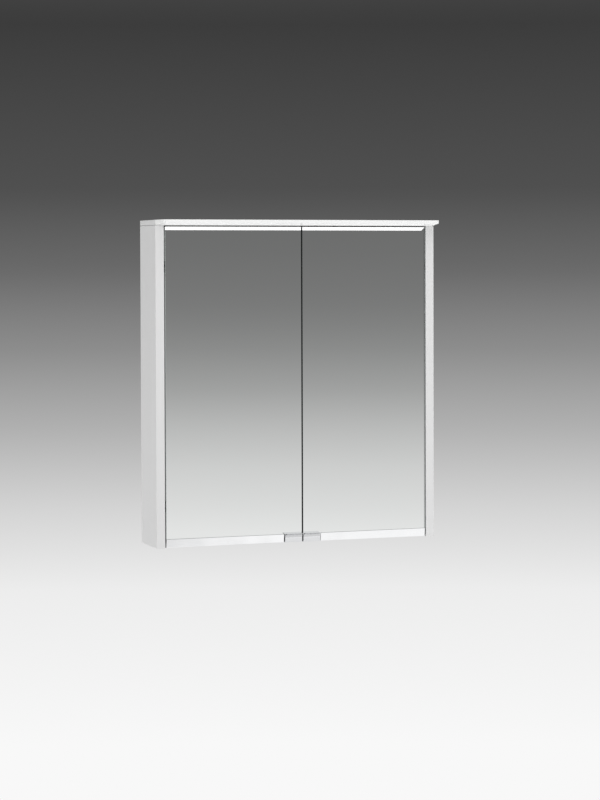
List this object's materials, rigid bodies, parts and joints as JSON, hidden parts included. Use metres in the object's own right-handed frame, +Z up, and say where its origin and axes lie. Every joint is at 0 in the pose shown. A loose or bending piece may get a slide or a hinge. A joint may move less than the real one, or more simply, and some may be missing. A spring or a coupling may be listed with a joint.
{
  "type": "medicine cabinet with mirror",
  "caption": "Wall-hung bathroom cabinet: mirror doors on concealed hinges, lit canopy, polished bottom rails with pull tabs, glass shelves and an inner socket.",
  "frame": {"origin": "centre of the cabinet's back face, on the wall plane", "axes": "+Z up, +Y into the wall, so the doors face -Y; +X to the right of someone who faces the doors"},
  "size_m": [0.65, 0.167, 0.712],
  "materials": {
    "white_lacquer": "white lacquered MDF board, satin",
    "white_sheet_metal": "white powder-coated sheet, satin",
    "opal_acrylic": "opal white acrylic, satin, lit from inside",
    "mirror_glass": "silvered float glass, polished",
    "polished_aluminium": "polished aluminium profile",
    "chrome": "polished chrome plate",
    "nickelled_steel": "nickel-plated pressed steel",
    "zinc_plated_steel": "zinc-plated pressed steel",
    "shelf_glass": "clear float glass, polished edges",
    "white_plastic": "white moulded plastic, fine texture",
    "grey_plastic": "light grey moulded plastic",
    "dark_plastic": "dark grey moulded plastic",
    "clear_buffer": "clear soft polyurethane"
  },
  "bodies": {
    "cabinet": {"side_panel_left": "white_lacquer", "hanger_left": "zinc_plated_steel", "canopy_end_cap_left": "opal_acrylic", "side_panel_right": "white_lacquer", "hanger_right": "zinc_plated_steel", "canopy_end_cap_right": "opal_acrylic", "top_board": "white_lacquer", "bottom_board": "white_lacquer", "back_panel": "white_lacquer", "cable_grommet": "dark_plastic", "service_cover": "white_sheet_metal", "led_driver": "white_plastic", "led_lead": "dark_plastic", "canopy_housing": "white_sheet_metal", "canopy_diffuser": "opal_acrylic", "led_strip": "white_plastic", "socket_housing": "white_plastic", "socket_insert": "grey_plastic", "glass_shelf_lower": "shelf_glass", "shelf_pin_lower_left_front": "nickelled_steel", "shelf_pin_lower_left_rear": "nickelled_steel", "shelf_pin_lower_right_front": "nickelled_steel", "shelf_pin_lower_right_rear": "nickelled_steel", "glass_shelf_upper": "shelf_glass", "shelf_pin_upper_left_front": "nickelled_steel", "shelf_pin_upper_left_rear": "nickelled_steel", "shelf_pin_upper_right_front": "nickelled_steel", "shelf_pin_upper_right_rear": "nickelled_steel", "hinge_plate_left_lower": "nickelled_steel", "hinge_arm_left_lower": "nickelled_steel", "hinge_plate_left_upper": "nickelled_steel", "hinge_arm_left_upper": "nickelled_steel", "hinge_plate_right_lower": "nickelled_steel", "hinge_arm_right_lower": "nickelled_steel", "hinge_plate_right_upper": "nickelled_steel", "hinge_arm_right_upper": "nickelled_steel"},
    "rocker": {"rocker_switch": "white_plastic"},
    "left_door": {"door_core_left": "white_lacquer", "mirror_front_left": "mirror_glass", "mirror_rear_left": "mirror_glass", "bottom_rail_left": "polished_aluminium", "pull_tab_left": "chrome", "door_bumper_left": "clear_buffer", "hinge_housing_left_lower": "nickelled_steel", "hinge_pin_left_lower": "nickelled_steel", "hinge_housing_left_upper": "nickelled_steel", "hinge_pin_left_upper": "nickelled_steel"},
    "right_door": {"door_core_right": "white_lacquer", "mirror_front_right": "mirror_glass", "mirror_rear_right": "mirror_glass", "bottom_rail_right": "polished_aluminium", "pull_tab_right": "chrome", "door_bumper_right": "clear_buffer", "hinge_housing_right_lower": "nickelled_steel", "hinge_pin_right_lower": "nickelled_steel", "hinge_housing_right_upper": "nickelled_steel", "hinge_pin_right_upper": "nickelled_steel"}
  },
  "joints": [
    {"name": "left_door_hinge", "type": "hinge", "parent": "cabinet", "child": "left_door", "pos_m": [-0.287, -0.113, 0], "axis": [0, 0, -1], "range_deg": [0, 95]},
    {"name": "right_door_hinge", "type": "hinge", "parent": "cabinet", "child": "right_door", "pos_m": [0.287, -0.113, 0], "axis": [0, 0, 1], "range_deg": [0, 95]},
    {"name": "rocker_tilt", "type": "hinge", "parent": "cabinet", "child": "rocker", "pos_m": [0.242, -0.041, 0.263], "axis": [1, 0, 0], "range_deg": [-14, 0]}
  ]
}
